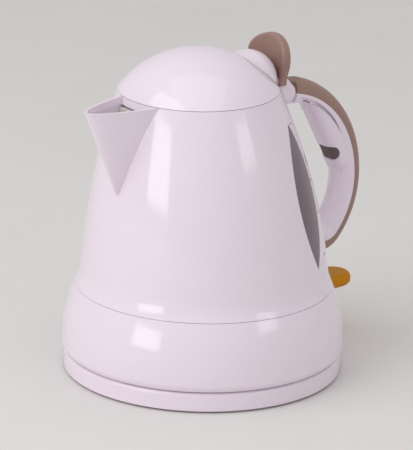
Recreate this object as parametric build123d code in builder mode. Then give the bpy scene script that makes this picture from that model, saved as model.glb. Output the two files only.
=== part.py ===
"""Cordless electric kettle: a leaning white jug with a V spout, a hinged dome lid with a thumb
paddle, an arched two-colour handle, a rocker switch, and the power base it lifts off.

Millimetres, +Z up. The origin is the centre of the power base on the table; the spout points
to -X and the handle to +X."""

import os
from math import atan2, cos, degrees, radians, sin, sqrt, tan

from build123d import *

os.makedirs("parts", exist_ok=True)

# Clearances
run_gap = 0.3
seam_gap = 0.3
pin_gap = 0.05

# Power base
base_radius = 84.5
base_top = 12.6
base_wall = 2.5
base_edge = 2.2
base_low_edge = 0.5
foot_height = 1.2
foot_radius = 7.0
foot_inset = 18.5
foot_count = 4
plate_thickness = 2.4
seat_ring_inset = 7.5
seat_ring_width = 5.0
seat_ring_height = 2.2
post_radius = 17.5
post_height = 19.0
post_flange = 6.0
slot_radius = 10.5
slot_width = 3.0
pin_slot_radius = 4.5
slot_depth = 15.0
gland_bore = 3.0
gland_wall = 1.0
gland_flange = 1.0
gland_height = 5.8
gland_angle = 40.0
screw_head = 3.2
screw_head_thickness = 1.3
screw_shank = 1.5
screw_length = 7.0
screw_boss = 3.4
screw_circle = 50.0
screw_count = 3

# Jug: lower skirt and upper body
skirt_low = 13.4
base_ledge = 0.5
skirt_swell = 2.0
skirt_wide_height = 17.4
seam_height = 54.6
skirt_draw = 7.6
waist_height = 66.0
flare_width = 3.2
rim_height = 177.0
rim_radius = 48.8
body_bulge = 430.0
body_lean = 7.3
body_wall = 2.5
body_sections = 7
skirt_wall = 2.5
spigot_depth = 9.0

# Spout
spout_tip_out = 45.2
spout_apex_out = 20.7
spout_apex_drop = 56.0
spout_root_out = 4.2
spout_half_width = 17.5
spout_wall = 2.3
spout_floor_rise = 7.0
bridge_depth = 4.2

# Window
window_angle = -63.0
window_foot_rise = 6.5
window_top_drop = 16.0
window_half_width = 12.6
window_flange = 2.4
window_flange_thickness = 1.4

# Spout filter
filter_thickness = 2.4
filter_half_width = 17.0
filter_foot_half_width = 4.0
filter_top_out = 2.4
filter_top_drop = 5.5
filter_foot_out = 13.2
filter_foot_drop = 47.0
pocket_wall = 1.8
filter_bar = 2.6
mesh_thickness = 0.5
mesh_pitch = 4.2
mesh_hole = 3.0
rail_depth = 7.5
rail_height = 3.0
rail_half_width = 11.6

# Handle
handle_half_width = 9.0
handle_drop = 74.6
handle_upper_radius = 62.5
handle_turn = 43.63
handle_out = 73.0
handle_foot_radius = 11.0
handle_foot_rise = 9.2
handle_start_angle = 78.5
frame_depth = 11.4
frame_nose_half_width = 4.6
frame_nose_round = 2.0
frame_side_half_width = 7.5
frame_side_depth = 6.6
frame_web_half_width = 6.0
groove_start_depth = 2.1
groove_start_angle = 75.5
groove_middle_depth = 3.4
groove_middle_angle = 38.9
groove_end_depth = 8.1
groove_end_angle = 4.9
grip_half_width = 8.6
grip_top_depth = 3.2
grip_top_angle = 65.8
grip_foot_depth = 11.8
grip_foot_angle = 7.5
grip_foot_rise = 3.6
grip_round = 6.0
grip_depth = 4.4
inlay_depth = 15.3
inlay_angle = 18.8
inlay_half_height = 5.6
inlay_inset = 0.7
tongue_half_width = 6.6
tongue_front_out = 0.5
tongue_back_overlap = 3.5
tongue_front_drop = 4.5
tongue_low_drop = 8.1

# Lid and hinge
dome_radius = 60.0
lid_wall = 2.5
hump_radius = 18.4
hump_inset = 10.5
hump_drop = 0.5
hump_length = 35.0
hump_foot_drop = 5.0
hinge_out = 15.5
hinge_rise = 63.1
hinge_pin_radius = 1.6
lid_open = 75.0
knuckle_radius = 5.2
knuckle_inner = 6.9
knuckle_outer = 10.4
knuckle_edge = 1.2
hinge_pin_cover = 1.4
lug_root_out = 9.7
lug_root_drop = 2.6
lug_root_radius = 3.4
paddle_out = 8.1
paddle_drop = 5.5
paddle_curl = 32.0
paddle_thickness = 5.5
paddle_stem_half_width = 11.7
paddle_head_half_width = 17.2
paddle_head_half_height = 13.5
paddle_head_rise = 17.0
paddle_edge = 1.4
liner_plug_depth = 4.6
liner_thickness = 2.4
liner_gap = 3.2
liner_rib = 1.8

# Switch
switch_pivot_inset = 13.5
switch_height = 34.4
switch_pin_radius = 1.5
switch_hub_radius = 5.0
switch_half_width = 11.0
switch_out = 32.5
switch_thickness = 9.4
switch_tip_thickness = 8.2
switch_rock = 12.0
switch_end_flat = 0.8
switch_ear = 2.5
switch_slot_room = 1.2
switch_slot_inset = 9.0

# Heating and control
floor_height = 51.0
floor_thickness = 1.2
seal_width = 3.0
seal_proud = 0.6
lip_width = 2.2
lip_thickness = 2.0
element_ring_radius = 50.0
element_tube_radius = 4.0
element_open_angle = 50.0
cover_height = 15.2
cover_thickness = 2.2
socket_wall = 2.2
socket_gap = 0.8
control_length = 62.0
control_width = 46.0
control_height = 9.0
disc_radius = 8.0
disc_thickness = 1.0
disc_spread = 15.0
blade_wall = 1.4
blade_drop = 13.0
centre_pin_radius = 2.4
steam_tube_radius = 4.4
steam_tube_wall = 1.0
steam_tube_reach = 38.0
steam_tube_drop = 17.0
steam_disc_size = 12.0
steam_arm_width = 16.0
steam_arm_thickness = 2.0
steam_disc_thickness = 0.6
terminal_radius = 2.0
terminal_inset = 4.0
disc_stem_radius = 2.5
connector_flange = 5.0
connector_flange_thickness = 2.0
boss_radius = 4.2
boss_height = 11.0
boss_inset = 7.5
boss_count = 3
boss_first_angle = 60.0
boss_rib = 3.0


def handle_point(depth, angle):
    """A point in the handle's upper arc: so far inside the skin's line, at an angle above level."""
    radius = handle_upper_radius - depth
    return (
        upper_centre + radius * cos(radians(angle)),
        handle_centre_height + radius * sin(radians(angle)),
    )


# Places worked out from the driving sizes
lid_low = rim_height + seam_gap
rim_back = rim_radius - body_lean
spout_tip = rim_radius + spout_tip_out
spout_apex_reach = rim_radius + spout_apex_out
spout_apex_height = rim_height - spout_apex_drop
spout_root = rim_radius + spout_root_out
window_low = waist_height + window_foot_rise
window_high = rim_height - window_top_drop
filter_top = (-rim_radius - filter_top_out, rim_height - filter_top_drop)
filter_foot = (-rim_radius - filter_foot_out, rim_height - filter_foot_drop)
bridge_low = rim_height - bridge_depth
skirt_low_radius = base_radius - base_ledge
skirt_wide = skirt_low_radius + skirt_swell
seam_radius = skirt_wide - skirt_draw
waist_radius = seam_radius - flare_width
body_bore = waist_radius - body_wall
window_depth = body_wall + window_flange_thickness
spigot_radius = seam_radius - skirt_wall - run_gap
spigot_low = seam_height - spigot_depth
post_top = base_top + post_height
cover_top = cover_height + cover_thickness
socket_bore = post_radius + socket_gap
socket_top = post_top + 2 * socket_gap + slot_width
handle_reach = rim_back + handle_out
upper_centre = handle_reach - handle_upper_radius
handle_centre_height = rim_height - handle_drop
handle_foot_height = seam_height + handle_foot_rise
foot_centre_height = handle_foot_height + handle_foot_radius
foot_centre_drop = handle_centre_height - foot_centre_height
handle_lower_radius = handle_foot_radius + foot_centre_drop / sin(radians(handle_turn))
handle_centre = handle_reach - handle_lower_radius
groove_start = handle_point(groove_start_depth, groove_start_angle)
groove_middle = handle_point(groove_middle_depth, groove_middle_angle)
groove_end = handle_point(groove_end_depth, groove_end_angle)
grip_top = handle_point(grip_top_depth, grip_top_angle)
grip_foot = handle_point(grip_foot_depth, grip_foot_angle)
grip_foot_height = handle_centre_height + grip_foot_rise
grip_reach = handle_upper_radius - grip_depth
inlay_centre = handle_point(inlay_depth, inlay_angle)
hinge_centre = (rim_back + hinge_out, handle_centre_height + hinge_rise)
tongue_front = rim_back + tongue_front_out
tongue_back = handle_point(0, handle_start_angle)[0] + tongue_back_overlap
tongue_front_top = hinge_centre[1] - tongue_front_drop
tongue_low = hinge_centre[1] - tongue_low_drop
dome_centre_height = rim_height - sqrt(dome_radius**2 - rim_radius**2)
hump_centre = (rim_back - hump_inset, rim_height - hump_drop)
hump_front = hump_centre[0] - hump_length
hump_foot_height = rim_height - hump_foot_drop
lug_root = (rim_back + lug_root_out, rim_height - lug_root_drop)
paddle_base = (rim_back + paddle_out, rim_height - paddle_drop)
plate_low = foot_height
plate_top = plate_low + plate_thickness
foot_circle = base_radius - foot_inset
seat_ring_radius = skirt_low_radius - skirt_wall - seat_ring_inset
base_bore = post_radius + run_gap
base_ceiling = base_top - base_wall
base_screw_seat = plate_low + screw_head_thickness
post_low = base_ceiling - post_flange / 3
contact_height = slot_depth / 4
seal_low = spigot_low + lip_thickness
seal_top = floor_height + floor_thickness + seal_proud
floor_radius = body_bore - seal_width
cover_screw_seat = cover_height + screw_head_thickness
terminal_angle = element_open_angle / 2 + terminal_inset
boss_circle = skirt_low_radius - boss_inset
steam_tube_top = rim_height - steam_tube_drop
cover_radius = skirt_low_radius - skirt_wall - run_gap
control_low = socket_top + socket_wall
control_top = control_low + control_height
switch_pivot = (skirt_wide - switch_pivot_inset, switch_height)
switch_reach = skirt_wide + switch_out
switch_edge = (switch_tip_thickness - switch_end_flat) / 2
switch_slot_start = skirt_wide - switch_slot_inset
ear_inner = switch_half_width + run_gap
ear_outer = ear_inner + switch_ear
ear_radius = switch_hub_radius
switch_slot_high = switch_pivot[1] + switch_thickness / 2 + switch_slot_room
switch_slot_drop = (skirt_wide - switch_pivot[0]) * sin(radians(switch_rock))
switch_slot_low = switch_pivot[1] - switch_thickness / 2 - switch_slot_drop - switch_slot_room
lid_axis = -body_lean
grip_slope = (grip_foot[0] - grip_top[0]) / (grip_foot[1] - grip_top[1])
tongue_radius = knuckle_radius - run_gap
plug_radius = rim_radius - body_wall - liner_gap
paddle_shoulder = paddle_base[1] + paddle_head_rise
paddle_top = paddle_shoulder + paddle_head_half_height
paddle_curl_centre = paddle_base[0] - paddle_curl
pin_half_length = knuckle_outer - hinge_pin_cover
filter_up = Vector(filter_top[0] - filter_foot[0], 0, filter_top[1] - filter_foot[1])
filter_length = filter_up.length
filter_plane = Plane(
    (filter_top[0], 0, filter_top[1]),
    x_dir=(0, -1, 0),
    z_dir=(-filter_up.Z, 0, filter_up.X),
)
rail_low = filter_top[1] - rail_height
gland_way = Vector(cos(radians(gland_angle)), sin(radians(gland_angle)), 0)
gland_plane = Plane(gland_way * base_radius + Vector(0, 0, gland_height), z_dir=gland_way)


def body_radius(height):
    """Radius of the body's outside at a height: one long convex arc from the waist to the rim."""
    rise = rim_height - waist_height
    draw_in = waist_radius - rim_radius
    chord = sqrt(rise**2 + draw_in**2)
    depth = sqrt(body_bulge**2 - (chord / 2) ** 2)
    centre_radius = (waist_radius + rim_radius) / 2 - depth * rise / chord
    centre_height = (waist_height + rim_height) / 2 - depth * draw_in / chord
    return centre_radius + sqrt(body_bulge**2 - (height - centre_height) ** 2)


def body_shift(height):
    """How far the body's circles have moved towards the spout at a height."""
    share = max(0.0, (height - waist_height) / (rim_height - waist_height))
    return body_lean * share**1.5


def body_solid(inset, low, high):
    """The body's leaning round form between two heights, set in from its outside."""
    with BuildPart() as solid:
        for step in range(body_sections):
            height = low + (high - low) * step / (body_sections - 1)
            with BuildSketch(Plane.XY.offset(height)):
                with Locations((-body_shift(height), 0)):
                    Circle(body_radius(height) - inset)
        loft()
    return solid.part


def flare_solid(grow):
    """The foot of the body, from the waist out to the seam with the skirt."""
    with BuildPart() as solid:
        with BuildSketch(Plane.XZ):
            with BuildLine():
                flare = TangentArc(
                    (waist_radius + grow, waist_height),
                    (seam_radius + grow, seam_height),
                    tangent=(body_radius(waist_height - 1) - waist_radius, -1),
                )
                Polyline(flare @ 1, (0, seam_height), (0, waist_height), flare @ 0)
            make_face()
        revolve(axis=Axis.Z)
    return solid.part


def spout_cone(wall, rise, top_share):
    """The spout's oblique cone: parabola sections that grow from the apex to the lip."""
    tip = spout_tip - wall
    reach = spout_tip - spout_root - wall
    apex_height = spout_apex_height + rise
    spread = 1.3
    with BuildPart() as cone:
        for share in (0.03, top_share):
            nose = -(spout_apex_reach + share * (tip - spout_apex_reach))
            back = share * reach * spread**2
            side = share * (spout_half_width - wall) * spread
            with BuildSketch(Plane.XY.offset(apex_height + share * (rim_height - apex_height))):
                with BuildLine():
                    Bezier((nose + back, -side), (nose - back, 0), (nose + back, side))
                    Line((nose + back, side), (nose + back, -side))
                make_face()
        loft(ruled=True)
    return cone.part


def window_prism(grow):
    """A lens-shaped prism that runs out through the body's wall at the window."""
    outward = Vector(cos(radians(window_angle)), sin(radians(window_angle)), 0)
    across = Vector(-outward.Y, outward.X, 0)
    middle = (window_low + window_high) / 2
    half_height = (window_high - window_low) / 2 + grow
    half_width = window_half_width + grow
    with BuildPart() as prism:
        with BuildSketch(Plane(outward * body_radius(rim_height) * 0.6, x_dir=across, z_dir=outward)):
            with BuildLine():
                ThreePointArc((0, middle - half_height), (half_width, middle), (0, middle + half_height))
                ThreePointArc((0, middle + half_height), (-half_width, middle), (0, middle - half_height))
            make_face()
        extrude(amount=waist_radius)
    return prism.part


def wall_patch(outer_inset, inner_inset, grow):
    """The piece of the body's wall, between two insets, that lies inside the window's lens shape."""
    with BuildPart() as patch:
        add(body_solid(outer_inset, waist_height, rim_height))
        add(body_solid(inner_inset, waist_height, rim_height), mode=Mode.SUBTRACT)
        add(window_prism(grow), mode=Mode.INTERSECT)
    return patch.part


def handle_path():
    """The line where the handle's skin meets its frame: two long arcs, a tight one and a foot."""
    foot_centre = handle_centre + foot_centre_drop / tan(radians(handle_turn))
    with BuildLine(Plane.XZ) as path:
        CenterArc(
            (upper_centre, handle_centre_height),
            handle_upper_radius,
            handle_start_angle,
            -handle_start_angle,
        )
        CenterArc((handle_centre, handle_centre_height), handle_lower_radius, 0, -handle_turn)
        CenterArc((foot_centre, foot_centre_height), handle_foot_radius, -handle_turn, handle_turn - 90)
        Line((foot_centre, handle_foot_height), (body_bore, handle_foot_height))
    return path.line


def handle_plane():
    """The cutting plane at the handle's upper end: x across the handle, y away from the body."""
    start = radians(handle_start_angle)
    place = (
        upper_centre + handle_upper_radius * cos(start),
        0,
        handle_centre_height + handle_upper_radius * sin(start),
    )
    return Plane(place, x_dir=(0, 1, 0), z_dir=(sin(start), 0, -cos(start)))


def skirt_face(wall):
    """Half section of the skirt, a closed wall, or its whole outside where the wall is None."""
    top = seam_height - seam_gap
    with BuildSketch(Plane.XZ) as face:
        with BuildLine():
            outer = TangentArc((skirt_wide, skirt_wide_height), (seam_radius, top), tangent=(0, 1))
            edge = TangentArc(
                (skirt_wide, skirt_wide_height), (skirt_low_radius, skirt_low), tangent=(0, -1)
            )
            if wall is None:
                Polyline(outer @ 1, (0, top), (0, skirt_low), edge @ 1)
            else:
                inner = TangentArc(
                    (skirt_wide - wall, skirt_wide_height), (seam_radius - wall, top), tangent=(0, 1)
                )
                Line(outer @ 1, inner @ 1)
                Polyline(inner @ 0, (skirt_low_radius - wall, skirt_low), edge @ 1)
        make_face()
    return face.sketch


def switch_ears():
    """The two ears inside the skirt's rear wall that hold the switch's pin."""
    with BuildPart() as ears:
        with BuildSketch(Plane.XZ):
            with Locations(switch_pivot):
                Circle(ear_radius)
                Rectangle(skirt_wide, 2 * ear_radius, align=(Align.MIN, Align.CENTER))
        extrude(amount=ear_outer, both=True)
        with BuildSketch(Plane.XZ):
            with Locations(switch_pivot):
                Rectangle(2 * skirt_wide, 4 * ear_radius)
        extrude(amount=ear_inner, both=True, mode=Mode.SUBTRACT)
        revolve(skirt_face(None), axis=Axis.Z, mode=Mode.INTERSECT)
    return ears.part


def filter_outline(grow):
    """The filter's outline on its leaning plane: wide at the top, narrow at the foot."""
    with BuildSketch(filter_plane) as outline:
        with BuildLine():
            Polyline(
                (-filter_half_width, 0),
                (filter_half_width, 0),
                (filter_foot_half_width, -filter_length),
                (-filter_foot_half_width, -filter_length),
                close=True,
            )
        make_face()
        fillet(outline.vertices(), filter_bar)
        if grow != 0:
            offset(amount=grow, mode=Mode.REPLACE)
    return outline.sketch


def mesh_sheet():
    """The mesh's outline, half way through the filter's thickness."""
    middle = (filter_thickness - mesh_thickness) / 2
    return filter_outline(-filter_bar / 2).moved(Location(filter_plane.z_dir * -middle))


def mesh_gaps():
    """Rows of square gaps that fit inside the filter's bars."""
    rows = int((filter_length - 2 * filter_bar) / mesh_pitch)
    with BuildSketch(filter_plane) as gaps:
        for row in range(rows):
            drop = filter_bar + mesh_pitch * (row + 0.5)
            taper = (filter_half_width - filter_foot_half_width) * (drop + mesh_pitch / 2) / filter_length
            count = int(2 * (filter_half_width - filter_bar - taper) / mesh_pitch)
            if count > 0:
                with Locations((0, -drop)):
                    with GridLocations(mesh_pitch, mesh_pitch, count, 1):
                        Rectangle(mesh_hole, mesh_hole)
    return gaps.sketch


def filter_pocket():
    """The V-shaped rib inside the front wall that the filter drops into."""
    with BuildPart() as pocket:
        extrude(filter_outline(pocket_wall + run_gap), amount=body_lean + pocket_wall)
        extrude(filter_outline(pocket_wall + run_gap), amount=-filter_thickness)
        extrude(filter_outline(run_gap), amount=body_lean + pocket_wall, mode=Mode.SUBTRACT)
        extrude(filter_outline(run_gap), amount=-filter_thickness, mode=Mode.SUBTRACT)
        add(body_outside, mode=Mode.INTERSECT)
        with BuildSketch(Plane.XY.offset(rail_low - run_gap)):
            Rectangle(2 * base_radius, 2 * base_radius)
        extrude(amount=rim_height, mode=Mode.SUBTRACT)
        add(spout_hollow.part, mode=Mode.SUBTRACT)
    return pocket.part


def dome_cap(radius):
    """The part of the lid's sphere above the jug's rim."""
    with BuildPart() as cap:
        with Locations((lid_axis, 0, dome_centre_height)):
            Sphere(radius)
        with BuildSketch(Plane.XY.offset(lid_low)):
            Rectangle(2 * base_radius, 2 * base_radius)
        extrude(amount=-2 * base_radius, mode=Mode.SUBTRACT)
    return cap.part


def hump_form(radius):
    """The rounded hump at the back of the lid that carries the paddle and the hinge."""
    with BuildPart() as hump:
        with BuildSketch(Plane.XZ):
            with BuildLine():
                Polyline(
                    (hump_centre[0] + radius, hump_centre[1]),
                    (hump_front, hump_centre[1]),
                    (hump_front, hump_centre[1] + radius),
                    (hump_centre[0], hump_centre[1] + radius),
                )
                CenterArc(hump_centre, radius, 0, 90)
            make_face()
        revolve(axis=Axis((0, 0, hump_centre[1]), (1, 0, 0)))
        with BuildSketch(Plane.XY.offset(hump_foot_height)):
            Rectangle(2 * base_radius, 2 * base_radius)
        extrude(amount=-hump_radius, mode=Mode.SUBTRACT)
    return hump.part


def hinge_lugs():
    """The lid's two lugs that reach back over the rim to the hinge pin."""
    with BuildPart() as lugs:
        with BuildSketch(Plane.XZ):
            with Locations(hinge_centre):
                Circle(knuckle_radius)
            with Locations(lug_root):
                Circle(lug_root_radius)
            make_hull()
        extrude(amount=knuckle_outer, both=True)
        fillet(lugs.edges().filter_by(Axis.Y, reverse=True), knuckle_edge)
        with BuildSketch(Plane.XZ):
            with Locations(hinge_centre):
                Rectangle(8 * knuckle_radius, 8 * knuckle_radius)
        extrude(amount=knuckle_inner, both=True, mode=Mode.SUBTRACT)
    return lugs.part


def grip_face(inset):
    """The grip core's side view: a straight inner edge, and an outer edge inside the frame."""
    chord = Vector(grip_foot[0] - grip_top[0], grip_foot[1] - grip_top[1])
    angle = degrees(atan2(chord.Y, chord.X))
    with BuildSketch(Plane.XZ) as face:
        with Locations((upper_centre, handle_centre_height)):
            Circle(grip_reach)
        with Locations(Location((grip_top[0], grip_top[1], 0), (0, 0, angle))):
            with Locations((0, inset)):
                Rectangle(
                    4 * grip_reach,
                    4 * grip_reach,
                    align=(Align.CENTER, Align.MAX),
                    mode=Mode.SUBTRACT,
                )
        with Locations((upper_centre, grip_foot_height)):
            Rectangle(
                4 * grip_reach,
                2 * grip_reach,
                align=(Align.CENTER, Align.MAX),
                mode=Mode.SUBTRACT,
            )
    return face.sketch


def grip_edges(edges):
    """The straight edges along the grip core's inner side and its lower end."""
    return edges.filter_by(GeomType.LINE).filter_by(Axis.Y, reverse=True)


def grip_pockets():
    """The hollow on each side of the frame's web that the grip core lies in, ending at the band."""
    with BuildPart() as pockets:
        with BuildSketch(Plane.XZ.offset(frame_web_half_width)):
            with BuildLine():
                ThreePointArc(groove_start, groove_middle, groove_end)
                Line(groove_end, groove_start)
            make_face()
        extrude(amount=handle_half_width)
        mirror(about=Plane.XZ)
    return pockets.part


def inlay_face(inset):
    """The inlay's side view: a slot with a round end, open to the grip's inner edge."""
    with BuildSketch(Plane.XZ) as face:
        with Locations(inlay_centre):
            Circle(inlay_half_height - inset)
            Rectangle(
                grip_reach,
                2 * (inlay_half_height - inset),
                align=(Align.MAX, Align.CENTER),
            )
    return face.sketch


def hinge_rod(radius):
    """A round bar along the lid's hinge axis, closed in by the lugs' outer faces."""
    with BuildPart() as rod:
        with BuildSketch(Plane.XZ):
            with Locations(hinge_centre):
                Circle(radius)
        extrude(amount=pin_half_length, both=True)
    return rod.part


def paddle_swing():
    """The space the paddle's back needs when the lid is fully open."""
    with BuildPart() as space:
        with BuildSketch(Plane.XY.offset(paddle_base[1] - run_gap)):
            with Locations((paddle_curl_centre, 0)):
                Circle(paddle_curl + paddle_thickness + run_gap)
            Rectangle(hump_centre[0], 4 * hump_radius, align=(Align.MIN, Align.CENTER), mode=Mode.SUBTRACT)
            Rectangle(4 * hump_radius, 4 * hump_radius, align=(Align.MAX, Align.CENTER), mode=Mode.SUBTRACT)
        extrude(amount=paddle_top - paddle_base[1] + 2 * run_gap)
    return space.part.rotate(Axis((hinge_centre[0], 0, hinge_centre[1]), (0, 1, 0)), lid_open)


def screw_ring(circle, count, first_angle, seat):
    """Pan-head screws on a circle, with heads below the seat and shanks going up from it."""
    with BuildPart() as screws:
        with PolarLocations(circle, count, first_angle):
            with Locations((0, 0, seat - screw_head_thickness / 2)):
                Cylinder(screw_head, screw_head_thickness)
            with Locations((0, 0, seat + screw_length / 2)):
                Cylinder(screw_shank, screw_length)
    return screws.part


def screw_holes(circle, count, first_angle, seat):
    """The room that a ring of screws takes up: counterbores below the seat and pilot holes above."""
    with BuildPart() as holes:
        with PolarLocations(circle, count, first_angle):
            with Locations((0, 0, seat - screw_head_thickness)):
                Cylinder(screw_head + pin_gap, 2 * screw_head_thickness)
            with Locations((0, 0, seat + screw_length / 2)):
                Cylinder(screw_shank + pin_gap, screw_length + 2 * pin_gap)
    return holes.part


def save(piece, name):
    """Names a finished piece and writes its file."""
    piece.label = name
    export_step(piece, f"parts/{name}.step")


# Solids that several pieces share
body_outside = body_solid(0, waist_height, rim_height)
body_inside = body_solid(body_wall, waist_height, rim_height + bridge_depth)
jug_room = body_solid(-run_gap, waist_height, lid_low)
handle_seat = body_solid(-pin_gap, waist_height, lid_low) + flare_solid(pin_gap)

# Power base
with BuildPart() as base_shell:
    with BuildSketch(Plane.XZ):
        with BuildLine():
            Line((base_bore, base_top), (base_radius - base_edge, base_top))
            RadiusArc((base_radius - base_edge, base_top), (base_radius, base_top - base_edge), base_edge)
            Polyline(
                (base_radius, base_top - base_edge),
                (base_radius, plate_low + base_low_edge),
                (base_radius - base_low_edge, plate_low),
                (base_radius - base_wall, plate_low),
                (base_radius - base_wall, base_ceiling),
                (base_bore, base_ceiling),
                (base_bore, base_top),
            )
        make_face()
    revolve(axis=Axis.Z)
    with BuildSketch(Plane.XY.offset(base_top)):
        Circle(seat_ring_radius)
        Circle(seat_ring_radius - seat_ring_width, mode=Mode.SUBTRACT)
    extrude(amount=seat_ring_height)
    with BuildSketch(Plane.XY.offset(plate_top)):
        with PolarLocations(screw_circle, screw_count):
            Circle(screw_boss)
    extrude(until=Until.NEXT)
    add(screw_holes(screw_circle, screw_count, 0, base_screw_seat), mode=Mode.SUBTRACT)
    with BuildSketch(gland_plane):
        Circle(gland_bore + gland_wall)
    extrude(amount=2 * base_wall, both=True, mode=Mode.SUBTRACT)
save(base_shell.part, "base_shell")

with BuildPart() as base_plate:
    with BuildSketch(Plane.XY.offset(plate_low)):
        Circle(base_radius - base_wall - run_gap)
    extrude(amount=plate_thickness)
    add(screw_holes(screw_circle, screw_count, 0, base_screw_seat), mode=Mode.SUBTRACT)
save(base_plate.part, "base_plate")

save(screw_ring(screw_circle, screw_count, 0, base_screw_seat), "base_screws")

with BuildPart() as base_feet:
    with BuildSketch():
        with PolarLocations(foot_circle, foot_count, 45):
            Circle(foot_radius)
    extrude(amount=foot_height)
save(base_feet.part, "base_feet")

with BuildPart() as cord_gland:
    with BuildSketch(gland_plane):
        Circle(gland_bore + gland_wall)
    extrude(amount=-base_wall)
    with BuildSketch(gland_plane):
        Circle(gland_bore + gland_wall + gland_flange)
    extrude(amount=gland_flange)
    with BuildSketch(gland_plane):
        Circle(gland_bore)
    extrude(amount=2 * base_wall, both=True, mode=Mode.SUBTRACT)
save(cord_gland.part, "cord_gland")

# Power base: the round connector post, open at the top for the jug's pin and ring blade
with BuildPart() as base_socket:
    with BuildSketch(Plane.XY.offset(post_low)):
        Circle(post_radius + post_flange)
    extrude(amount=base_ceiling - post_low)
    with BuildSketch(Plane.XY.offset(base_ceiling)):
        Circle(post_radius)
    extrude(amount=post_top - base_ceiling)
    chamfer(base_socket.faces().sort_by(Axis.Z)[-1].edges(), socket_gap)
    with BuildSketch(Plane.XY.offset(post_top)):
        Circle(slot_radius + slot_width / 2)
        Circle(slot_radius - slot_width / 2, mode=Mode.SUBTRACT)
        Circle(pin_slot_radius)
    extrude(amount=-slot_depth, mode=Mode.SUBTRACT)
save(base_socket.part, "base_socket")

with BuildPart() as socket_contacts:
    with BuildSketch(Plane.XY.offset(post_top - slot_depth)):
        Circle(slot_radius + slot_width / 2)
        Circle(slot_radius - slot_width / 2, mode=Mode.SUBTRACT)
        Circle(pin_slot_radius)
    extrude(amount=contact_height)
save(socket_contacts.part, "socket_contacts")

# Jug: upper body with the spout, the bridge across it and the window opening
with BuildPart() as spout_hollow:
    add(spout_cone(spout_wall, spout_floor_rise, 1.1))
    add(body_solid(0, bridge_low, rim_height + 2 * bridge_depth), mode=Mode.SUBTRACT)

with BuildPart() as jug_shell:
    add(flare_solid(0))
    with BuildSketch(Plane.XY.offset(spigot_low)):
        Circle(spigot_radius)
    extrude(amount=seam_height - spigot_low)
    add(body_outside)
    add(spout_cone(0, 0, 1.0))
    with BuildSketch(Plane.XY.offset(spigot_low)):
        Circle(body_bore)
    extrude(amount=waist_height - spigot_low, mode=Mode.SUBTRACT)
    with BuildSketch(Plane.XY.offset(spigot_low)):
        Circle(body_bore)
        Circle(body_bore - lip_width, mode=Mode.SUBTRACT)
    extrude(amount=lip_thickness)
    add(body_inside, mode=Mode.SUBTRACT)
    add(spout_hollow.part, mode=Mode.SUBTRACT)
    add(window_prism(pin_gap), mode=Mode.SUBTRACT)
    add(filter_pocket())
save(jug_shell.part, "jug_shell")

with BuildPart() as level_window:
    add(wall_patch(0, window_depth, 0))
    add(wall_patch(body_wall + pin_gap, window_depth, window_flange))
save(level_window.part, "level_window")


# Jug: lift-out filter behind the spout, with the top rail that shows in the spout's mouth
with BuildPart() as filter_frame:
    extrude(filter_outline(0), amount=-filter_thickness)
    extrude(filter_outline(-filter_bar), amount=-filter_thickness, mode=Mode.SUBTRACT)
    with BuildSketch(filter_plane):
        Rectangle(filter_bar, filter_length, align=(Align.CENTER, Align.MAX))
    extrude(amount=-filter_thickness)
    with BuildSketch(Plane.XY.offset(rail_low)):
        with Locations((filter_top[0], 0)):
            Rectangle(rail_depth, 2 * rail_half_width, align=(Align.MAX, Align.CENTER))
    extrude(amount=rail_height)
    extrude(mesh_sheet(), amount=-mesh_thickness, mode=Mode.SUBTRACT)
save(filter_frame.part, "filter_frame")

with BuildPart() as filter_mesh:
    extrude(mesh_sheet(), amount=-mesh_thickness)
    extrude(mesh_gaps(), amount=-filter_thickness, mode=Mode.SUBTRACT)
save(filter_mesh.part, "filter_mesh")

# Jug: lower skirt, with screw bosses, the switch's slot and the ears that hold its pin
with BuildPart() as skirt:
    revolve(skirt_face(skirt_wall), axis=Axis.Z)
    with BuildSketch(Plane.XY.offset(cover_top)):
        with PolarLocations(boss_circle, boss_count, boss_first_angle):
            Circle(boss_radius)
            Rectangle(skirt_wide - boss_circle - skirt_wall / 2, boss_rib, align=(Align.MIN, Align.CENTER))
    extrude(amount=boss_height)
    add(switch_ears())
    with BuildSketch(Plane.XZ):
        with Locations((switch_slot_start, switch_slot_low)):
            Rectangle(skirt_wide, switch_slot_high - switch_slot_low, align=(Align.MIN, Align.MIN))
    extrude(amount=switch_half_width + switch_slot_room, both=True, mode=Mode.SUBTRACT)
    with BuildSketch(Plane.XZ):
        with Locations(switch_pivot):
            Circle(switch_pin_radius)
    extrude(amount=ear_outer, both=True, mode=Mode.SUBTRACT)
    add(screw_holes(boss_circle, boss_count, boss_first_angle, cover_screw_seat), mode=Mode.SUBTRACT)
save(skirt.part, "skirt")

with BuildPart() as switch_pin:
    with BuildSketch(Plane.XZ):
        with Locations(switch_pivot):
            Circle(switch_pin_radius)
    extrude(amount=ear_outer, both=True)
save(switch_pin.part, "switch_pin")

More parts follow.
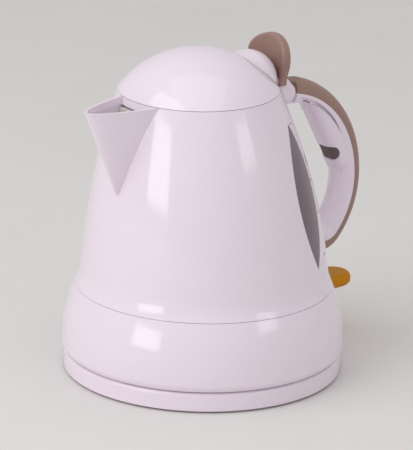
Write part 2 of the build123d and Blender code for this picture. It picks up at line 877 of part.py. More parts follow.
# Switch: a tapering tongue with a round end, on a hub that turns on the pin
with BuildPart() as switch_lever:
    with BuildSketch(Plane.XZ):
        with BuildLine():
            Polyline(
                (switch_pivot[0], switch_pivot[1] + switch_thickness / 2),
                (switch_reach, switch_pivot[1] + switch_tip_thickness / 2),
                (switch_reach, switch_pivot[1] - switch_tip_thickness / 2),
                (switch_pivot[0], switch_pivot[1] - switch_thickness / 2),
                close=True,
            )
        make_face()
        with Locations(switch_pivot):
            Circle(switch_hub_radius)
    extrude(amount=switch_half_width, both=True)
    with BuildSketch():
        with Locations((switch_reach - switch_half_width, 0)):
            Circle(switch_half_width)
            Rectangle(skirt_wide, 2 * switch_half_width, align=(Align.MAX, Align.CENTER))
    extrude(amount=seam_height, mode=Mode.INTERSECT)
    fillet(switch_lever.edges().filter_by_position(Axis.X, skirt_wide, switch_reach), switch_edge)
    with BuildSketch(Plane.XZ):
        with Locations(switch_pivot):
            Circle(switch_pin_radius + pin_gap)
    extrude(amount=ear_outer, both=True, mode=Mode.SUBTRACT)
save(switch_lever.part, "switch_lever")

# Jug underside: cover, screws and the connector cup with its contacts
with BuildPart() as bottom_cover:
    with BuildSketch(Plane.XY.offset(cover_height)):
        Circle(cover_radius)
        Circle(socket_bore + socket_wall + run_gap, mode=Mode.SUBTRACT)
    extrude(amount=cover_thickness)
    add(screw_holes(boss_circle, boss_count, boss_first_angle, cover_screw_seat), mode=Mode.SUBTRACT)
save(bottom_cover.part, "bottom_cover")

save(screw_ring(boss_circle, boss_count, boss_first_angle, cover_screw_seat), "cover_screws")

with BuildPart() as jug_connector:
    with BuildSketch(Plane.XY.offset(cover_height)):
        Circle(socket_bore + socket_wall)
    extrude(amount=control_low - cover_height)
    with BuildSketch(Plane.XY.offset(cover_top)):
        Circle(socket_bore + socket_wall + connector_flange)
    extrude(amount=connector_flange_thickness)
    with BuildSketch(Plane.XY.offset(cover_height)):
        Circle(socket_bore)
    extrude(amount=socket_top - cover_height, mode=Mode.SUBTRACT)
save(jug_connector.part, "jug_connector")

with BuildPart() as connector_contacts:
    with BuildSketch(Plane.XY.offset(socket_top)):
        Circle(slot_radius + blade_wall / 2)
        Circle(slot_radius - blade_wall / 2, mode=Mode.SUBTRACT)
        Circle(centre_pin_radius)
    extrude(amount=-blade_drop)
save(connector_contacts.part, "connector_contacts")

# Jug floor: steel plate in its rubber seal, the sheathed element under it, and the steam tube
with BuildPart() as element_plate:
    with BuildSketch(Plane.XY.offset(floor_height)):
        Circle(floor_radius)
        with Locations((steam_tube_reach, 0)):
            Circle(steam_tube_radius, mode=Mode.SUBTRACT)
    extrude(amount=floor_thickness)
save(element_plate.part, "element_plate")

with BuildPart() as element_seal:
    with BuildSketch(Plane.XY.offset(seal_low)):
        Circle(body_bore)
        Circle(floor_radius - seal_width / 3, mode=Mode.SUBTRACT)
    extrude(amount=seal_top - seal_low)
    with BuildSketch(Plane.XY.offset(floor_height)):
        Circle(floor_radius)
    extrude(amount=floor_thickness, mode=Mode.SUBTRACT)
save(element_seal.part, "element_seal")

with BuildPart() as heating_element:
    with BuildSketch(Plane.XZ.rotated((0, 0, element_open_angle / 2))):
        with Locations((element_ring_radius, floor_height - element_tube_radius - pin_gap)):
            Circle(element_tube_radius)
    revolve(axis=Axis.Z, revolution_arc=360 - element_open_angle)
    with BuildSketch(Plane.XY.offset(control_low)):
        with PolarLocations(element_ring_radius, 2, -terminal_angle, 4 * terminal_angle):
            Circle(terminal_radius)
    extrude(until=Until.NEXT)
save(heating_element.part, "heating_element")

with BuildPart() as control_unit:
    with BuildSketch(Plane.XY.offset(control_low)):
        RectangleRounded(control_length, control_width, boss_radius)
    extrude(amount=control_height)
    with BuildSketch(Plane.XY.offset(control_low)):
        Rectangle(steam_tube_reach + steam_disc_size / 2, steam_arm_width, align=(Align.MIN, Align.CENTER))
    extrude(amount=steam_arm_thickness)
save(control_unit.part, "control_unit")

with BuildPart() as boil_dry_discs:
    with BuildSketch(Plane.XY.offset(control_top)):
        with GridLocations(0, 2 * disc_spread, 1, 2):
            Circle(disc_stem_radius)
    extrude(amount=floor_height - control_top - pin_gap)
    with BuildSketch(Plane.XY.offset(floor_height - pin_gap)):
        with GridLocations(0, 2 * disc_spread, 1, 2):
            Circle(disc_radius)
    extrude(amount=-disc_thickness)
save(boil_dry_discs.part, "boil_dry_discs")

with BuildPart() as steam_disc:
    with BuildSketch(Plane.XY.offset(control_low + steam_arm_thickness)):
        with Locations((steam_tube_reach, 0)):
            Rectangle(steam_disc_size, steam_disc_size)
    extrude(amount=steam_disc_thickness)
save(steam_disc.part, "steam_disc")

with BuildPart() as steam_tube:
    with BuildSketch(Plane.XY.offset(control_low + 2 * steam_arm_thickness)):
        with Locations((steam_tube_reach, 0)):
            Circle(steam_tube_radius)
            Circle(steam_tube_radius - steam_tube_wall, mode=Mode.SUBTRACT)
    extrude(amount=steam_tube_top - control_low - 2 * steam_arm_thickness)
save(steam_tube.part, "steam_tube")

# Handle: white frame with the hinge tongue, taupe outer skin, and the grip core with its inlay
with BuildPart() as handle_skin:
    with BuildSketch(handle_plane()):
        Circle(handle_half_width)
        Rectangle(
            3 * handle_half_width,
            2 * handle_half_width,
            align=(Align.CENTER, Align.MAX),
            mode=Mode.SUBTRACT,
        )
    sweep(path=handle_path())
    add(handle_seat, mode=Mode.SUBTRACT)
    add(paddle_swing(), mode=Mode.SUBTRACT)
save(handle_skin.part, "handle_skin")

with BuildPart() as handle_frame:
    with BuildSketch(handle_plane()):
        with BuildLine():
            Line((-handle_half_width, 0), (handle_half_width, 0))
            side = ThreePointArc(
                (handle_half_width, 0),
                (frame_side_half_width, -frame_side_depth),
                (frame_nose_half_width, frame_nose_round - frame_depth),
            )
            mirror(side, about=Plane.YZ)
            ThreePointArc(
                (frame_nose_half_width, frame_nose_round - frame_depth),
                (0, -frame_depth),
                (-frame_nose_half_width, frame_nose_round - frame_depth),
            )
        make_face()
    sweep(path=handle_path())
    with BuildSketch(Plane.XZ):
        Polygon(
            (0, tongue_low),
            (grip_top[0] + (grip_top[1] - tongue_low) * grip_slope, tongue_low),
            grip_foot,
            (0, grip_foot[1]),
            align=None,
        )
    extrude(amount=2 * handle_half_width, both=True, mode=Mode.SUBTRACT)
    add(grip_pockets(), mode=Mode.SUBTRACT)
    with BuildSketch(Plane.XZ):
        with Locations(hinge_centre):
            Circle(tongue_radius)
        Polygon(
            (tongue_front, tongue_low),
            (tongue_back, tongue_low),
            (tongue_back, hinge_centre[1]),
            (hinge_centre[0] - tongue_radius, hinge_centre[1]),
            (tongue_front, tongue_front_top),
            align=None,
        )
    extrude(amount=tongue_half_width, both=True)
    add(handle_seat, mode=Mode.SUBTRACT)
    add(handle_skin.part, mode=Mode.SUBTRACT)
    add(paddle_swing(), mode=Mode.SUBTRACT)
    add(hinge_rod(hinge_pin_radius + pin_gap), mode=Mode.SUBTRACT)
save(handle_frame.part, "handle_frame")

with BuildPart() as grip_core:
    extrude(grip_face(0), amount=grip_half_width, both=True)
    fillet(grip_edges(grip_core.edges()), grip_round)
    extrude(inlay_face(0), amount=grip_half_width, both=True, mode=Mode.SUBTRACT)
    add(handle_frame.part, mode=Mode.SUBTRACT)
save(grip_core.part, "grip_core")

with BuildPart() as grip_inlay:
    extrude(grip_face(inlay_inset), amount=grip_half_width - inlay_inset, both=True)
    fillet(grip_edges(grip_inlay.edges()), grip_round - inlay_inset)
    extrude(inlay_face(pin_gap), amount=grip_half_width, both=True, mode=Mode.INTERSECT)
    add(handle_frame.part, mode=Mode.SUBTRACT)
save(grip_inlay.part, "grip_inlay")

# Lid: dome with the rear hump and hinge lugs, taupe thumb paddle, inner liner and hinge pin
with BuildPart() as thumb_paddle:
    with BuildSketch(Plane.YZ):
        with BuildLine():
            side = Spline(
                (paddle_stem_half_width, paddle_base[1]),
                (paddle_head_half_width, paddle_shoulder),
                tangents=((0, 1), (0, 1)),
            )
            mirror(side, about=Plane.YZ)
            Line((-paddle_stem_half_width, paddle_base[1]), (paddle_stem_half_width, paddle_base[1]))
            Line((-paddle_head_half_width, paddle_shoulder), (paddle_head_half_width, paddle_shoulder))
        make_face()
        with Locations((0, paddle_shoulder)):
            Ellipse(paddle_head_half_width, paddle_head_half_height)
    extrude(amount=2 * paddle_base[0])
    with BuildSketch(Plane.XY.offset(paddle_base[1])):
        with Locations((paddle_curl_centre, 0)):
            Circle(paddle_curl + paddle_thickness)
            Circle(paddle_curl, mode=Mode.SUBTRACT)
        Rectangle(4 * hump_radius, 4 * hump_radius, align=(Align.MAX, Align.CENTER), mode=Mode.SUBTRACT)
    extrude(amount=paddle_top - paddle_base[1], mode=Mode.INTERSECT)
    fillet(thumb_paddle.edges().filter_by_position(Axis.Z, paddle_shoulder, paddle_top), paddle_edge)
save(thumb_paddle.part, "thumb_paddle")

with BuildPart() as lid_cap:
    add(dome_cap(dome_radius))
    add(hump_form(hump_radius))
    add(dome_cap(dome_radius - lid_wall), mode=Mode.SUBTRACT)
    add(hump_form(hump_radius - lid_wall), mode=Mode.SUBTRACT)
    add(hinge_lugs())
    add(jug_room, mode=Mode.SUBTRACT)
    add(thumb_paddle.part, mode=Mode.SUBTRACT)
    add(hinge_rod(hinge_pin_radius), mode=Mode.SUBTRACT)
save(lid_cap.part, "lid_cap")

save(hinge_rod(hinge_pin_radius), "hinge_pin")

with BuildPart() as lid_liner:
    with BuildSketch(Plane.XY.offset(lid_low)):
        with Locations((lid_axis, 0)):
            Circle(rim_radius)
    extrude(amount=liner_thickness)
    add(dome_cap(dome_radius - lid_wall - pin_gap), mode=Mode.INTERSECT)
    with BuildSketch(Plane.XY.offset(lid_low)):
        with Locations((lid_axis, 0)):
            Circle(plug_radius)
            Circle(plug_radius - liner_rib, mode=Mode.SUBTRACT)
    extrude(amount=-liner_plug_depth)
save(lid_liner.part, "lid_liner")
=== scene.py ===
"""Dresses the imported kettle: mouldings, trims, window marks, studio floor, lamps and camera.

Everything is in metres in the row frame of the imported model: +Z up, spout towards -X, handle
towards +X, the origin at the middle of the power base on the table."""

from math import cos, radians, sin

import bpy
import numpy as np
from mathutils import Matrix, Vector


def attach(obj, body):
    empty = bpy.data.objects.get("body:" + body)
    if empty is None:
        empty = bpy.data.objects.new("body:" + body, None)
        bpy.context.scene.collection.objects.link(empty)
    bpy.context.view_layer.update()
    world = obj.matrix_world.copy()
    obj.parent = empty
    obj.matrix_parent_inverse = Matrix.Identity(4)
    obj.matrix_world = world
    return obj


bl_info = {
    "name": "Kettle dressing",
    "version": (1, 0, 0),
    "blender": (4, 5, 0),
    "location": "3D View > Sidebar > Kettle",
    "description": "Finishes and stage for a cordless kettle on its power base",
    "category": "Object",
}

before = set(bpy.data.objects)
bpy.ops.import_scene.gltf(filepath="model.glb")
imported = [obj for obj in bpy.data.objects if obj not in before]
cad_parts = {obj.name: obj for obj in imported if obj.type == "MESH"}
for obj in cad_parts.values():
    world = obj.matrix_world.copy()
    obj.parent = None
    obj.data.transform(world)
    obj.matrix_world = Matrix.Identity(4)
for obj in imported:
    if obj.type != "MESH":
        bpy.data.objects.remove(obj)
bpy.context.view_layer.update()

# The camera's picture: rows of pixels, and the height of its sensor in millimetres
IMAGE_HEIGHT = 450
SENSOR_HEIGHT = 36.0

# The jug's outside, as the solids have it: waist, rim, bulge of the wall and lean towards the spout
WAIST_HEIGHT = 0.066
WAIST_RADIUS = 0.0752
RIM_HEIGHT = 0.177
RIM_RADIUS = 0.0488
BODY_BULGE = 0.43
BODY_LEAN = 0.0073

# The part of a noise's range that carries a mask from its low end to its high end
MASK_LOW = 0.3
MASK_HIGH = 0.7

# Shares of a finish's roughness that its mask runs between: polished by use, and dull
PLASTIC_GLOSS = (0.85, 1.25)
METAL_GLOSS = (0.7, 1.3)
CLEAR_GLOSS = (0.8, 1.3)

# The lacquer's roughness, the clear plastic's refraction and the depth of drawn streaks
COAT_ROUGHNESS = 0.08
CLEAR_PLASTIC_IOR = 1.45
STREAK_DEPTH = 0.00003

# Stage: half the floor's side, the world's even light, and the point that every lamp faces
FLOOR_REACH = 3.0
SKY_COLOUR = (0.91, 0.9, 0.9, 1.0)
SKY_STRENGTH = 0.64
LAMP_AIM = (0.0, 0.0, 0.1)

# Lamps: name, direction from the kettle (shares of away from the camera, right and up), distance,
# width, height and watts
LAMPS = (
    ("key window", (-0.70, -0.72, 0.13), 1.5, 0.62, 0.36, 2.25),
    ("far window", (-0.54, 0.84, 0.27), 1.5, 0.45, 0.21, 0.7),
    ("broad left", (-0.45, -0.70, 0.75), 2.0, 1.6, 1.4, 12.0),
    ("overhead", (-0.2, 0.0, 1.0), 1.7, 1.6, 1.6, 5.5),
)


def display_colour(red, green, blue):
    """A colour given as 0 to 255 display values, turned into the linear values that Blender uses."""
    display = np.array([red, green, blue]) / 255.0
    linear = np.where(display > 0.04045, ((display + 0.055) / 1.055) ** 2.4, display / 12.92)
    return tuple(float(value) for value in linear)


def colour_property(name, words, *display):
    """A colour that the sidebar can change, given by its display values."""
    return bpy.props.FloatVectorProperty(
        name=name,
        description=words,
        subtype="COLOR",
        size=3,
        min=0.0,
        max=1.0,
        default=display_colour(*display),
    )


class KettleColours(bpy.types.PropertyGroup):
    """Colours of the kettle's finishes and of the floor it stands on."""

    white: colour_property("White moulding", "Glossy white of the jug, lid and base", 237, 224, 236)
    taupe: colour_property("Taupe trim", "Satin taupe of the paddle and the handle's skin", 156, 124, 114)
    # Dark taupe of the grip_inlay piece: partly the piece's own colour, partly painted shade of the recess
    # it sits sunk in
    inlay_and_shade: colour_property("Inlay", "Soft inlay in the grip", 106, 90, 88)
    rubber: colour_property("Rubber", "Dark rubber of the feet and the floor seal", 70, 62, 62)
    window: colour_property("Water window", "Smoked pane beside the handle", 158, 136, 150)
    amber: colour_property("Switch", "Amber rocker tongue", 214, 144, 18)
    milky: colour_property("Inner plastic", "Milky filter, liner and steam tube", 226, 222, 218)
    black: colour_property("Works plastic", "Black plastic of the coupling and the thermostat", 26, 26, 28)
    steel: colour_property("Steel", "Floor plate, pins, screws and mesh", 198, 196, 192)
    sheath: colour_property("Element sheath", "Dull metal of the heating element", 150, 147, 143)
    brass: colour_property("Contacts", "Brass of the contacts and snap discs", 205, 168, 98)
    marks: colour_property("Level marks", "Grey print beside the window", 150, 143, 150)
    floor: colour_property("Floor", "Pale studio floor", 226, 224, 222)


class KettleMarks(bpy.types.PropertyGroup):
    """Printed water-level ticks on the white strip between the window and the handle."""

    heights: bpy.props.FloatVectorProperty(
        name="Heights",
        description="Height of each tick above the table",
        size=4,
        unit="LENGTH",
        default=(0.1595, 0.1235, 0.1035, 0.0775),
    )
    angles: bpy.props.FloatVectorProperty(
        name="Angles",
        description="Turn of each tick's middle about the jug's axis",
        size=4,
        default=tuple(radians(angle) for angle in (-52.0, -48.5, -49.0, -50.5)),
    )
    width: bpy.props.FloatProperty(
        name="Width",
        description="Length of a tick round the jug",
        unit="LENGTH",
        default=0.0032,
    )
    height: bpy.props.FloatProperty(
        name="Height",
        description="Thickness of a tick's line",
        unit="LENGTH",
        default=0.0009,
    )
    film: bpy.props.FloatProperty(
        name="Film",
        description="Thickness of the printed film",
        unit="LENGTH",
        default=0.00006,
    )


class KettleView(bpy.types.PropertyGroup):
    """Where the camera stands and how strong the lamps are."""

    azimuth: bpy.props.FloatProperty(
        name="Azimuth",
        description="Turn of the camera round the kettle, from looking along +Y",
        subtype="ANGLE",
        default=radians(-41.0),
    )
    elevation: bpy.props.FloatProperty(
        name="Elevation",
        description="Height of the camera above the horizon",
        subtype="ANGLE",
        default=radians(18.26),
    )
    roll: bpy.props.FloatProperty(
        name="Roll",
        description="Tilt of the camera about its own line of sight",
        subtype="ANGLE",
        default=radians(1.3),
    )
    distance: bpy.props.FloatProperty(
        name="Distance",
        description="From the camera to the point it looks at",
        unit="LENGTH",
        default=2.325,
    )
    aim_height: bpy.props.FloatProperty(
        name="Aim height",
        description="Height of the point the camera looks at",
        unit="LENGTH",
        default=0.08994,
    )
    aim_right: bpy.props.FloatProperty(
        name="Aim to the right",
        description="How far right of the kettle's axis the camera looks",
        unit="LENGTH",
        default=0.00109,
    )
    focal_pixels: bpy.props.FloatProperty(
        name="Focal length",
        description="Focal length counted in pixels of the picture",
        default=3840.0,
    )
    lamp_share: bpy.props.FloatProperty(
        name="Lamp level",
        description="Scales every lamp together",
        default=1.0,
        min=0.0,
    )


def new_group(name, inputs, outputs):
    """An empty shader node group with named number inputs and outputs: (group, its in, its out)."""
    group = bpy.data.node_groups.new(name, "ShaderNodeTree")
    for label, default in inputs:
        socket = group.interface.new_socket(label, in_out="INPUT", socket_type="NodeSocketFloat")
        socket.default_value = default
    for label in outputs:
        group.interface.new_socket(label, in_out="OUTPUT", socket_type="NodeSocketFloat")
    return group, group.nodes.new("NodeGroupInput"), group.nodes.new("NodeGroupOutput")


def moulding_group():
    """Moulded plastic: slow mottle, fine grain and faint rub marks, all from Object coordinates."""
    name = "moulded surface"
    if name in bpy.data.node_groups:
        return bpy.data.node_groups[name]
    inputs = [("Mottle Scale", 14.0), ("Grain Scale", 900.0), ("Rub Scale", 60.0)]
    group, way_in, way_out = new_group(name, inputs, ["Mottle", "Grain", "Rub"])
    place = group.nodes.new("ShaderNodeTexCoord")
    even, upright = (1, 1, 1), (1, 1, 0.2)
    for label, detail, stretch in (("Mottle", 3.0, even), ("Grain", 1.0, even), ("Rub", 4.0, upright)):
        mapping = group.nodes.new("ShaderNodeMapping")
        mapping.inputs["Scale"].default_value = stretch
        noise = group.nodes.new("ShaderNodeTexNoise")
        noise.inputs["Detail"].default_value = detail
        group.links.new(place.outputs["Object"], mapping.inputs["Vector"])
        group.links.new(mapping.outputs["Vector"], noise.inputs["Vector"])
        group.links.new(way_in.outputs[label + " Scale"], noise.inputs["Scale"])
        group.links.new(noise.outputs["Fac"], way_out.inputs[label])
    return group


def brushing_group():
    """Drawn metal: noise stretched along one direction of the piece's Object coordinates."""
    name = "drawn metal"
    if name in bpy.data.node_groups:
        return bpy.data.node_groups[name]
    group, way_in, way_out = new_group(name, [("Scale", 300.0), ("Stretch", 0.05)], ["Streak"])
    place = group.nodes.new("ShaderNodeTexCoord")
    squeeze = group.nodes.new("ShaderNodeCombineXYZ")
    squeeze.inputs["Y"].default_value = 1.0
    squeeze.inputs["Z"].default_value = 1.0
    scaled = group.nodes.new("ShaderNodeVectorMath")
    scaled.operation = "MULTIPLY"
    noise = group.nodes.new("ShaderNodeTexNoise")
    noise.inputs["Detail"].default_value = 5.0
    group.links.new(way_in.outputs["Stretch"], squeeze.inputs["X"])
    group.links.new(place.outputs["Object"], scaled.inputs[0])
    group.links.new(squeeze.outputs["Vector"], scaled.inputs[1])
    group.links.new(scaled.outputs["Vector"], noise.inputs["Vector"])
    group.links.new(way_in.outputs["Scale"], noise.inputs["Scale"])
    group.links.new(noise.outputs["Fac"], way_out.inputs["Streak"])
    return group


def new_material(name):
    """A fresh node material: (material, its nodes, its links, its shader)."""
    material = bpy.data.materials.new(name)
    material.use_nodes = True
    nodes = material.node_tree.nodes
    shader = next(node for node in nodes if node.type == "BSDF_PRINCIPLED")
    return material, nodes, material.node_tree.links, shader


def place_group(nodes, group, **values):
    """One use of a shared node group, with its own values."""
    node = nodes.new("ShaderNodeGroup")
    node.node_tree = group
    for label, value in values.items():
        node.inputs[label.replace("_", " ")].default_value = value
    return node


def spread(nodes, links, source, low, high):
    """A noise's mask, stretched to run from low to high."""
    node = nodes.new("ShaderNodeMapRange")
    node.inputs["From Min"].default_value = MASK_LOW
    node.inputs["From Max"].default_value = MASK_HIGH
    node.inputs["To Min"].default_value = low
    node.inputs["To Max"].default_value = high
    links.new(source, node.inputs["Value"])
    return node.outputs["Result"]


def two_tone(nodes, links, source, colour, share):
    """A colour that a mask carries between itself and a darker share of itself."""
    ramp = nodes.new("ShaderNodeValToRGB")
    ramp.color_ramp.elements[0].position = MASK_LOW
    ramp.color_ramp.elements[1].position = MASK_HIGH
    ramp.color_ramp.elements[0].color = (*[value * share for value in colour], 1.0)
    ramp.color_ramp.elements[1].color = (*colour, 1.0)
    links.new(source, ramp.inputs["Fac"])
    return ramp.outputs["Color"]


def bump(nodes, links, source, distance, strength):
    """A bump whose height is a mask, at a real depth in metres."""
    node = nodes.new("ShaderNodeBump")
    node.inputs["Distance"].default_value = distance
    node.inputs["Strength"].default_value = strength
    links.new(source, node.inputs["Height"])
    return node.outputs["Normal"]


def moulded_plastic(name, colour, rough, grain_depth, grain_scale=900.0, tone=0.96, coat=0.0):
    """Moulded plastic: mottled colour, roughness that follows rub marks, grain as a bump."""
    material, nodes, links, shader = new_material(name)
    surface = place_group(nodes, moulding_group(), Grain_Scale=grain_scale)
    links.new(two_tone(nodes, links, surface.outputs["Mottle"], colour, tone), shader.inputs["Base Color"])
    polished, dull = PLASTIC_GLOSS
    roughness = spread(nodes, links, surface.outputs["Rub"], rough * polished, rough * dull)
    links.new(roughness, shader.inputs["Roughness"])
    relief = bump(nodes, links, surface.outputs["Grain"], distance=grain_depth, strength=0.5)
    links.new(relief, shader.inputs["Normal"])
    shader.inputs["Coat Weight"].default_value = coat
    shader.inputs["Coat Roughness"].default_value = COAT_ROUGHNESS
    return material


def drawn_metal(name, colour, rough, scale=300.0, tone=0.8):
    """Bare metal with drawn streaks in its colour, roughness and bump."""
    material, nodes, links, shader = new_material(name)
    surface = place_group(nodes, brushing_group(), Scale=scale)
    links.new(two_tone(nodes, links, surface.outputs["Streak"], colour, tone), shader.inputs["Base Color"])
    polished, dull = METAL_GLOSS
    roughness = spread(nodes, links, surface.outputs["Streak"], rough * polished, rough * dull)
    links.new(roughness, shader.inputs["Roughness"])
    relief = bump(nodes, links, surface.outputs["Streak"], distance=STREAK_DEPTH, strength=0.4)
    links.new(relief, shader.inputs["Normal"])
    shader.inputs["Metallic"].default_value = 1.0
    return material


def see_through(name, colour, rough, transmission, specular, mottle_scale=22.0, tone=0.85):
    """Tinted plastic that lets light through, with a faintly uneven tint and gloss."""
    material, nodes, links, shader = new_material(name)
    surface = place_group(nodes, moulding_group(), Mottle_Scale=mottle_scale)
    links.new(two_tone(nodes, links, surface.outputs["Mottle"], colour, tone), shader.inputs["Base Color"])
    polished, dull = CLEAR_GLOSS
    roughness = spread(nodes, links, surface.outputs["Rub"], rough * polished, rough * dull)
    links.new(roughness, shader.inputs["Roughness"])
    shader.inputs["Transmission Weight"].default_value = transmission
    shader.inputs["Specular IOR Level"].default_value = specular
    shader.inputs["IOR"].default_value = CLEAR_PLASTIC_IOR
    return material


def dress(material, *names):
    """Gives CAD nodes a finish."""
    for name in names:
        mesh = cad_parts[name].data
        mesh.materials.clear()
        mesh.materials.append(material)


class KETTLE_OT_white_mouldings(bpy.types.Operator):
    """Glossy white jug, skirt, lid, handle frame and power base"""

    bl_idname = "kettle.white_mouldings"
    bl_label = "White mouldings"

    def execute(self, context):
        colours = context.scene.kettle_colours
        gloss = moulded_plastic(
            "glossy white", colours.white, rough=0.12, grain_depth=0.000002, tone=0.985, coat=0.2
        )
        dress(gloss, "jug_shell", "skirt", "lid_cap", "handle_frame", "grip_core", "base_shell")
        satin = moulded_plastic("satin white", colours.white, rough=0.38, grain_depth=0.00001)
        dress(satin, "base_plate")
        return {"FINISHED"}


class KETTLE_OT_taupe_trims(bpy.types.Operator):
    """Satin taupe thumb paddle and handle skin, and the dark grip_inlay piece, whose darkness is partly
    painted shade of the grip's recess
    """

    bl_idname = "kettle.taupe_trims"
    bl_label = "Taupe trims"

    def execute(self, context):
        colours = context.scene.kettle_colours
        satin = moulded_plastic(
            "satin taupe", colours.taupe, rough=0.42, grain_depth=0.00002, grain_scale=1400.0, tone=0.93
        )
        dress(satin, "handle_skin", "thumb_paddle")
        # The grip_inlay's dark taupe is partly painted shade, darkening the piece where the grip's recess
        # is in shadow
        painted_shade = moulded_plastic(
            "soft inlay", colours.inlay_and_shade, rough=0.62, grain_depth=0.00003, grain_scale=1100.0, tone=0.88
        )
        dress(painted_shade, "grip_inlay")
        return {"FINISHED"}


class KETTLE_OT_window(bpy.types.Operator):
    """Smoked water window"""

    bl_idname = "kettle.window"
    bl_label = "Water window"

    def execute(self, context):
        colours = context.scene.kettle_colours
        pane = see_through("smoked pane", colours.window, rough=0.16, transmission=0.45, specular=0.5)
        dress(pane, "level_window")
        return {"FINISHED"}


def body_surface(angle, height, lift):
    """Points on the jug's outside, as arrays: the radius at a height is a circle arc through the waist
    and the rim, the circle's middle slides towards the spout with the height to the power of one and
    a half, and the angle turns round that middle."""
    rise = RIM_HEIGHT - WAIST_HEIGHT
    draw_in = WAIST_RADIUS - RIM_RADIUS
    chord = np.hypot(rise, draw_in)
    depth = np.sqrt(BODY_BULGE**2 - (chord / 2) ** 2)
    arc_radius = (WAIST_RADIUS + RIM_RADIUS) / 2 - depth * rise / chord
    arc_height = (WAIST_HEIGHT + RIM_HEIGHT) / 2 - depth * draw_in / chord
    radius = arc_radius + np.sqrt(BODY_BULGE**2 - (height - arc_height) ** 2) + lift
    shift = BODY_LEAN * np.clip((height - WAIST_HEIGHT) / rise, 0.0, 1.0) ** 1.5
    return np.stack([radius * np.cos(angle) - shift, radius * np.sin(angle), height], axis=-1)


def grid_faces(patches, rows, columns):
    """Corner numbers of the quads of several equal grids that lie one after the other."""
    numbers = np.arange(patches * rows * columns).reshape(patches, rows, columns)
    corners = (numbers[:, :-1, :-1], numbers[:, :-1, 1:], numbers[:, 1:, 1:], numbers[:, 1:, :-1])
    return np.stack(corners, axis=-1).reshape(-1, 4)


class KETTLE_OT_level_marks(bpy.types.Operator):
    """Printed ticks beside the water window"""

    bl_idname = "kettle.level_marks"
    bl_label = "Level marks"

    def execute(self, context):
        colours = context.scene.kettle_colours
        marks = context.scene.kettle_marks
        rows, columns = 4, 12
        up = np.linspace(-0.5, 0.5, rows)[None, :, None] * marks.height
        across = np.linspace(-0.5, 0.5, columns)[None, None, :] * marks.width / WAIST_RADIUS
        heights, angles = np.broadcast_arrays(
            np.array(marks.heights)[:, None, None] + up,
            np.array(marks.angles)[:, None, None] + across,
        )
        points = body_surface(angles, heights, marks.film / 2)
        mesh = bpy.data.meshes.new("level_marks")
        faces = grid_faces(len(marks.heights), rows, columns)
        mesh.from_pydata(points.reshape(-1, 3).tolist(), [], faces.tolist())
        mesh.shade_smooth()
        ink = moulded_plastic("level print", colours.marks, rough=0.5, grain_depth=0.00001, tone=0.85)
        mesh.materials.append(ink)
        piece = bpy.data.objects.new("level_marks", mesh)
        context.scene.collection.objects.link(piece)
        film = piece.modifiers.new("film", "SOLIDIFY")
        film.thickness = marks.film
        film.offset = 1.0
        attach(piece, "jug")
        return {"FINISHED"}


class KETTLE_OT_switch(bpy.types.Operator):
    """Amber rocker tongue"""

    bl_idname = "kettle.switch"
    bl_label = "Switch"

    def execute(self, context):
        colours = context.scene.kettle_colours
        rocker = see_through("amber rocker", colours.amber, rough=0.4, transmission=0.1, specular=0.08)
        dress(rocker, "switch_lever")
        return {"FINISHED"}


class KETTLE_OT_inner_plastic(bpy.types.Operator):
    """Milky filter frame, lid liner and steam tube"""

    bl_idname = "kettle.inner_plastic"
    bl_label = "Inner plastic"

    def execute(self, context):
        colours = context.scene.kettle_colours
        milky = moulded_plastic(
            "milky plastic", colours.milky, rough=0.34, grain_depth=0.00001, tone=0.95
        )
        dress(milky, "filter_frame", "lid_liner", "steam_tube")
        return {"FINISHED"}


class KETTLE_OT_works(bpy.types.Operator):
    """Black works, rubber seals and feet, steel, element sheath and brass contacts"""

    bl_idname = "kettle.works"
    bl_label = "Works and metal"

    def execute(self, context):
        colours = context.scene.kettle_colours
        black = moulded_plastic("black works", colours.black, rough=0.5, grain_depth=0.00003, tone=0.7)
        dress(black, "base_socket", "cord_gland", "control_unit", "jug_connector", "bottom_cover")
        rubber = moulded_plastic(
            "dark rubber", colours.rubber, rough=0.78, grain_depth=0.00004, tone=0.8
        )
        dress(rubber, "base_feet", "element_seal")
        steel = drawn_metal("drawn steel", colours.steel, rough=0.28)
        dress(steel, "element_plate", "filter_mesh", "hinge_pin", "switch_pin")
        dress(steel, "base_screws", "cover_screws")
        sheath = drawn_metal("element sheath", colours.sheath, rough=0.45, scale=180.0)
        dress(sheath, "heating_element")
        brass = drawn_metal("contact brass", colours.brass, rough=0.3, scale=400.0)
        dress(brass, "socket_contacts", "connector_contacts", "boil_dry_discs", "steam_disc")
        return {"FINISHED"}


def softbox(name, direction, distance, width, height, power):
    """An area lamp at a distance along a direction from the kettle's middle, facing it."""
    lamp = bpy.data.lights.new(name, "AREA")
    lamp.shape = "RECTANGLE"
    lamp.size = width
    lamp.size_y = height
    lamp.energy = power
    lamp_object = bpy.data.objects.new(name, lamp)
    bpy.context.scene.collection.objects.link(lamp_object)
    aim = Vector(LAMP_AIM)
    place = aim + direction.normalized() * distance
    turn = (aim - place).to_track_quat("-Z", "Y")
    lamp_object.matrix_world = Matrix.Translation(place) @ turn.to_matrix().to_4x4()


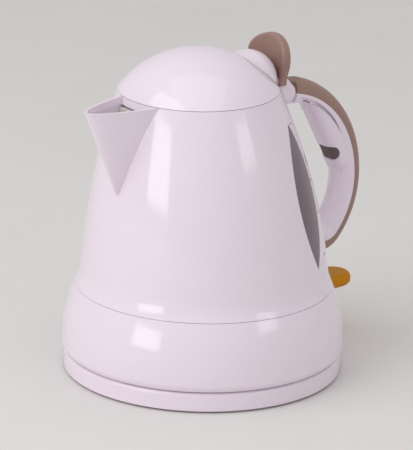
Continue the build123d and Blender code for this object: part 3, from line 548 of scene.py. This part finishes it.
class KETTLE_OT_stage(bpy.types.Operator):
    """Pale floor, soft lamps and the camera"""

    bl_idname = "kettle.stage"
    bl_label = "Stage"

    def execute(self, context):
        scene = context.scene
        colours = scene.kettle_colours
        view = scene.kettle_view
        floor_mesh = bpy.data.meshes.new("studio_floor")
        corners = FLOOR_REACH * np.array([(-1, -1, 0), (1, -1, 0), (1, 1, 0), (-1, 1, 0)])
        floor_mesh.from_pydata(corners.tolist(), [], [(0, 1, 2, 3)])
        floor = bpy.data.objects.new("studio_floor", floor_mesh)
        scene.collection.objects.link(floor)
        pale = moulded_plastic("pale floor", colours.floor, rough=0.7, grain_depth=0.00002, tone=0.98)
        floor_mesh.materials.append(pale)

        world = bpy.data.worlds.new("studio")
        world.use_nodes = True
        sky = world.node_tree.nodes["Background"]
        sky.inputs["Color"].default_value = SKY_COLOUR
        sky.inputs["Strength"].default_value = SKY_STRENGTH
        scene.world = world

        right = Vector((cos(view.azimuth), sin(view.azimuth), 0))
        away = Vector((-sin(view.azimuth), cos(view.azimuth), 0))
        up = Vector((0, 0, 1))
        for name, (away_share, right_share, up_share), distance, width, height, watts in LAMPS:
            direction = away * away_share + right * right_share + up * up_share
            softbox(name, direction, distance, width, height, watts * view.lamp_share)

        back = up * sin(view.elevation) - away * cos(view.elevation)
        lens_up = up * cos(view.elevation) + away * sin(view.elevation)
        camera_right = right * cos(view.roll) + lens_up * sin(view.roll)
        camera_up = lens_up * cos(view.roll) - right * sin(view.roll)
        aim = right * view.aim_right + up * view.aim_height
        turn = Matrix((camera_right, camera_up, back)).transposed().to_4x4()
        camera_data = bpy.data.cameras.new("photo view")
        camera_data.sensor_fit = "VERTICAL"
        camera_data.sensor_height = SENSOR_HEIGHT
        camera_data.lens = view.focal_pixels * SENSOR_HEIGHT / IMAGE_HEIGHT
        camera = bpy.data.objects.new("photo view", camera_data)
        camera.matrix_world = Matrix.Translation(aim + back * view.distance) @ turn
        scene.collection.objects.link(camera)
        scene.camera = camera
        scene.view_settings.view_transform = "Standard"
        return {"FINISHED"}


OPERATORS = (
    KETTLE_OT_white_mouldings,
    KETTLE_OT_taupe_trims,
    KETTLE_OT_window,
    KETTLE_OT_level_marks,
    KETTLE_OT_switch,
    KETTLE_OT_inner_plastic,
    KETTLE_OT_works,
    KETTLE_OT_stage,
)


class KETTLE_PT_sidebar(bpy.types.Panel):
    """Lists the kettle's dressing steps in the 3D view's sidebar"""

    bl_idname = "KETTLE_PT_sidebar"
    bl_label = "Kettle"
    bl_space_type = "VIEW_3D"
    bl_region_type = "UI"
    bl_category = "Kettle"

    def draw(self, context):
        for operator in OPERATORS:
            self.layout.operator(operator.bl_idname)


CLASSES = (KettleColours, KettleMarks, KettleView, *OPERATORS, KETTLE_PT_sidebar)


def register():
    """Adds the classes and the scene's kettle settings."""
    for item in CLASSES:
        bpy.utils.register_class(item)
    bpy.types.Scene.kettle_colours = bpy.props.PointerProperty(type=KettleColours)
    bpy.types.Scene.kettle_marks = bpy.props.PointerProperty(type=KettleMarks)
    bpy.types.Scene.kettle_view = bpy.props.PointerProperty(type=KettleView)


def unregister():
    """Takes the kettle settings and the classes away again."""
    del bpy.types.Scene.kettle_view
    del bpy.types.Scene.kettle_marks
    del bpy.types.Scene.kettle_colours
    for item in reversed(CLASSES):
        bpy.utils.unregister_class(item)


def main():
    register()
    bpy.ops.kettle.white_mouldings()
    bpy.ops.kettle.taupe_trims()
    bpy.ops.kettle.window()
    bpy.ops.kettle.level_marks()
    bpy.ops.kettle.switch()
    bpy.ops.kettle.inner_plastic()
    bpy.ops.kettle.works()
    bpy.ops.kettle.stage()


if __name__ == "__main__":
    main()
